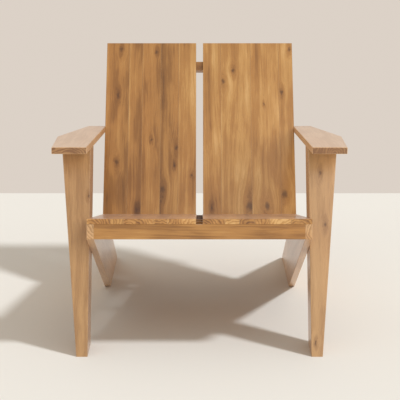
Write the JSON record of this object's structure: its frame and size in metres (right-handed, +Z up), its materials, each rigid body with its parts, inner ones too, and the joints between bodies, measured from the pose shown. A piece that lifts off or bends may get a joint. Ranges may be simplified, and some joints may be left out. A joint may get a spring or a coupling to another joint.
{
  "type": "wooden lounge armchair",
  "caption": "Low wooden armchair with sloping two-panel seat, reclined two-panel back, leaning tapered legs and flat angled arms.",
  "frame": {"origin": "on the floor, in the middle of the chair's footprint box", "axes": "+Z up, the sitter faces -Y, +X to the sitter's left side"},
  "size_m": [0.786, 0.8746, 0.6947],
  "materials": {
    "back_board": "oiled acacia-like staves, satin, vertical grain with knots",
    "seat_board": "oiled acacia-like staves, satin, grain front to back",
    "arm_board": "oiled, satin, grain front to back",
    "leg_board": "oiled, satin, lighter tan, grain along the leg",
    "rail_board": "oiled, satin, grain along the board",
    "frame_bar": "oiled, satin, grain along the bar",
    "beech_dowel": "plain, fluted dowel stock",
    "zinc_steel": "zinc-plated screw and bolt steel",
    "brass_insert": "threaded insert brass"
  },
  "bodies": {
    "root": {"arm_bolts": "zinc_steel", "arm_dowels": "beech_dowel", "arm_left": "arm_board", "arm_right": "arm_board", "back_bar_dowels": "beech_dowel", "back_bottom_bar": "frame_bar", "back_left_stave_1": "back_board", "back_left_stave_2": "back_board", "back_left_stave_3": "back_board", "back_left_stave_4": "back_board", "back_left_stave_5": "back_board", "back_post_left": "frame_bar", "back_post_right": "frame_bar", "back_right_stave_1": "back_board", "back_right_stave_2": "back_board", "back_right_stave_3": "back_board", "back_right_stave_4": "back_board", "back_screws": "zinc_steel", "back_top_bar": "frame_bar", "front_leg_left": "leg_board", "front_leg_right": "leg_board", "front_rail": "frame_bar", "leg_bolts": "zinc_steel", "leg_inserts": "brass_insert", "post_screws": "zinc_steel", "seat_frame_dowels": "beech_dowel", "seat_left_stave_1": "seat_board", "seat_left_stave_2": "seat_board", "seat_left_stave_3": "seat_board", "seat_left_stave_4": "seat_board", "seat_left_stave_5": "seat_board", "seat_middle_bar": "frame_bar", "seat_rear_bar": "frame_bar", "seat_right_stave_1": "seat_board", "seat_right_stave_2": "seat_board", "seat_right_stave_3": "seat_board", "seat_right_stave_4": "seat_board", "seat_right_stave_5": "seat_board", "seat_right_stave_6": "seat_board", "seat_screws": "zinc_steel", "side_rail_left": "rail_board", "side_rail_right": "rail_board"}
  },
  "joints": []
}
